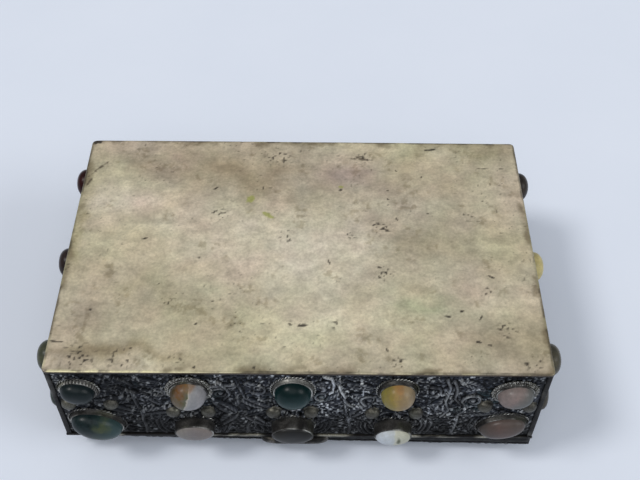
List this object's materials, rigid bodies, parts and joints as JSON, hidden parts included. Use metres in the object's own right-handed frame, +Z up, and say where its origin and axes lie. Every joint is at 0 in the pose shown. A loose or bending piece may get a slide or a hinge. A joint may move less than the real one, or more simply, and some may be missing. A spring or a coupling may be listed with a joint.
{
  "type": "vanity trinket box",
  "caption": "Rectangular hinged trinket box of embossed blackened metal on a plain overhanging base plate, with bezel-set agate cabochons around the walls and over the lid.",
  "frame": {"origin": "centre of the underside of the base plate, the face the box stands on", "axes": "+X along the length, +Y from the front with its thumb tab to the hinge at the back, +Z up to the lid"},
  "size_m": [0.1602, 0.1075, 0.048],
  "materials": {
    "agate_amber": "polished honey agate with olive tint",
    "agate_banded": "polished agate banded rust, cream and lavender grey",
    "agate_dark_green": "polished green-black agate",
    "agate_mauve": "polished mauve-brown agate",
    "agate_mixed": "polished agates of different colours",
    "agate_moss": "polished green moss agate with olive clouds",
    "agate_pink": "polished pinkish grey agate",
    "agate_smoke": "polished smoky translucent agate",
    "agate_taupe": "polished taupe grey agate",
    "agate_teal": "polished dark teal green agate",
    "agate_white": "polished white agate with a dark green inclusion",
    "blackened_sheet": "embossed silvered brass, blackened in the hollows and rubbed silver on the high points",
    "bright_rim": "rubbed bright along the edge, dull satin",
    "dark_metal": "blackened, lightly rubbed, satin",
    "pin_steel": "dull steel",
    "setting_metal": "blackened silvered brass, grained and rubbed, satin",
    "velvet": "short-pile wine velvet over padding",
    "worn_base_metal": "silvered brass worn through, olive-grey patina, small dark pits, satin"
  },
  "bodies": {
    "box_body": {"back_ball_bosses": "setting_metal", "back_bezels": "setting_metal", "back_lining": "velvet", "back_lower_stones": "agate_mixed", "back_upper_stones": "agate_mixed", "back_wall": "blackened_sheet", "back_wire_rings": "setting_metal", "base_plate": "worn_base_metal", "body_rim": "bright_rim", "corner_straps": "blackened_sheet", "floor_lining": "velvet", "front_ball_bosses": "setting_metal", "front_bezels": "setting_metal", "front_lining": "velvet", "front_lower_stone_1": "agate_pink", "front_lower_stone_2": "agate_amber", "front_lower_stone_3": "agate_teal", "front_lower_stone_4": "agate_banded", "front_lower_stone_5": "agate_dark_green", "front_upper_stone_1": "agate_mauve", "front_upper_stone_2": "agate_white", "front_upper_stone_3": "agate_smoke", "front_upper_stone_4": "agate_taupe", "front_upper_stone_5": "agate_moss", "front_wall": "blackened_sheet", "front_wire_rings": "setting_metal", "hinge_body_knuckles": "dark_metal", "hinge_pin": "pin_steel", "left_ball_bosses": "setting_metal", "left_bezels": "setting_metal", "left_lining": "velvet", "left_lower_stones": "agate_mixed", "left_upper_stones": "agate_mixed", "left_wall": "blackened_sheet", "left_wire_rings": "setting_metal", "right_ball_bosses": "setting_metal", "right_bezels": "setting_metal", "right_lining": "velvet", "right_lower_stones": "agate_mixed", "right_upper_stones": "agate_mixed", "right_wall": "blackened_sheet", "right_wire_rings": "setting_metal"},
    "lid": {"hinge_lid_knuckles": "dark_metal", "lid_ball_bosses": "setting_metal", "lid_bezels": "setting_metal", "lid_centre_stone": "agate_mixed", "lid_frame": "dark_metal", "lid_lining": "velvet", "lid_panel": "blackened_sheet", "lid_stones": "agate_mixed", "lid_wire_rings": "setting_metal", "thumb_tab": "dark_metal"}
  },
  "joints": [
    {"name": "lid_hinge", "type": "hinge", "parent": "box_body", "child": "lid", "pos_m": [0, 0.0499, 0.03825], "axis": [-1, 0, 0], "range_deg": [0, 100]}
  ]
}
